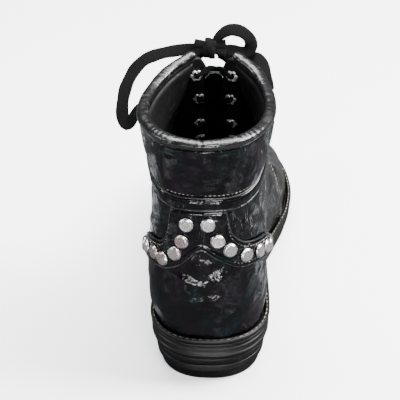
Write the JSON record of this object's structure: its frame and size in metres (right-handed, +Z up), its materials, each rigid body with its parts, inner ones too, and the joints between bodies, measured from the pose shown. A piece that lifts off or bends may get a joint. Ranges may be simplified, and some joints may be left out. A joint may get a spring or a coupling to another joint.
{
  "type": "ankle boot",
  "caption": "Left studded ankle boot in black patent leather: lace-up front with bow, padded collar, studded heel strap, stitched welt and a low stacked rubber heel.",
  "frame": {"origin": "on the ground, under the middle of the boot's box without its bow", "axes": "+Z up, +Y towards the toe along the boot, +X towards the big-toe side (this is a left boot)"},
  "size_m": [0.1115, 0.272, 0.1874],
  "materials": {
    "patent_leather": "black patent, high gloss",
    "lining_leather": "black, satin",
    "sole_rubber": "black, satin",
    "nickel": "nickel plate, brushed faces",
    "lace_fabric": "black flat woven lace, matt"
  },
  "bodies": {
    "root": {"upper": "patent_leather", "collar_cuff": "patent_leather", "collar_bead": "patent_leather", "heel_strap": "patent_leather", "eyestay_outer": "patent_leather", "eyestay_inner": "patent_leather", "tongue": "patent_leather", "collar_binding": "lining_leather", "insole": "lining_leather", "welt": "sole_rubber", "midsole": "sole_rubber", "outsole": "sole_rubber", "heel": "sole_rubber", "lace_crossings": "lace_fabric", "lace_knot": "lace_fabric", "lace_loop_outer": "lace_fabric", "lace_loop_inner": "lace_fabric", "lace_end_inner": "lace_fabric", "eyelet_outer_1": "nickel", "eyelet_outer_2": "nickel", "eyelet_outer_3": "nickel", "eyelet_outer_4": "nickel", "eyelet_outer_5": "nickel", "eyelet_outer_6": "nickel", "eyelet_inner_1": "nickel", "eyelet_inner_2": "nickel", "eyelet_inner_3": "nickel", "eyelet_inner_4": "nickel", "eyelet_inner_5": "nickel", "eyelet_inner_6": "nickel", "stud_01": "nickel", "stud_02": "nickel", "stud_03": "nickel", "stud_04": "nickel", "stud_05": "nickel", "stud_06": "nickel", "stud_07": "nickel", "stud_08": "nickel", "stud_09": "nickel", "stud_10": "nickel", "stud_11": "nickel", "stud_12": "nickel", "stud_13": "nickel", "stud_14": "nickel", "stud_15": "nickel", "stud_16": "nickel", "stud_17": "nickel", "stud_18": "nickel", "stud_19": "nickel", "stud_20": "nickel", "stud_21": "nickel", "stud_22": "nickel"}
  },
  "joints": []
}
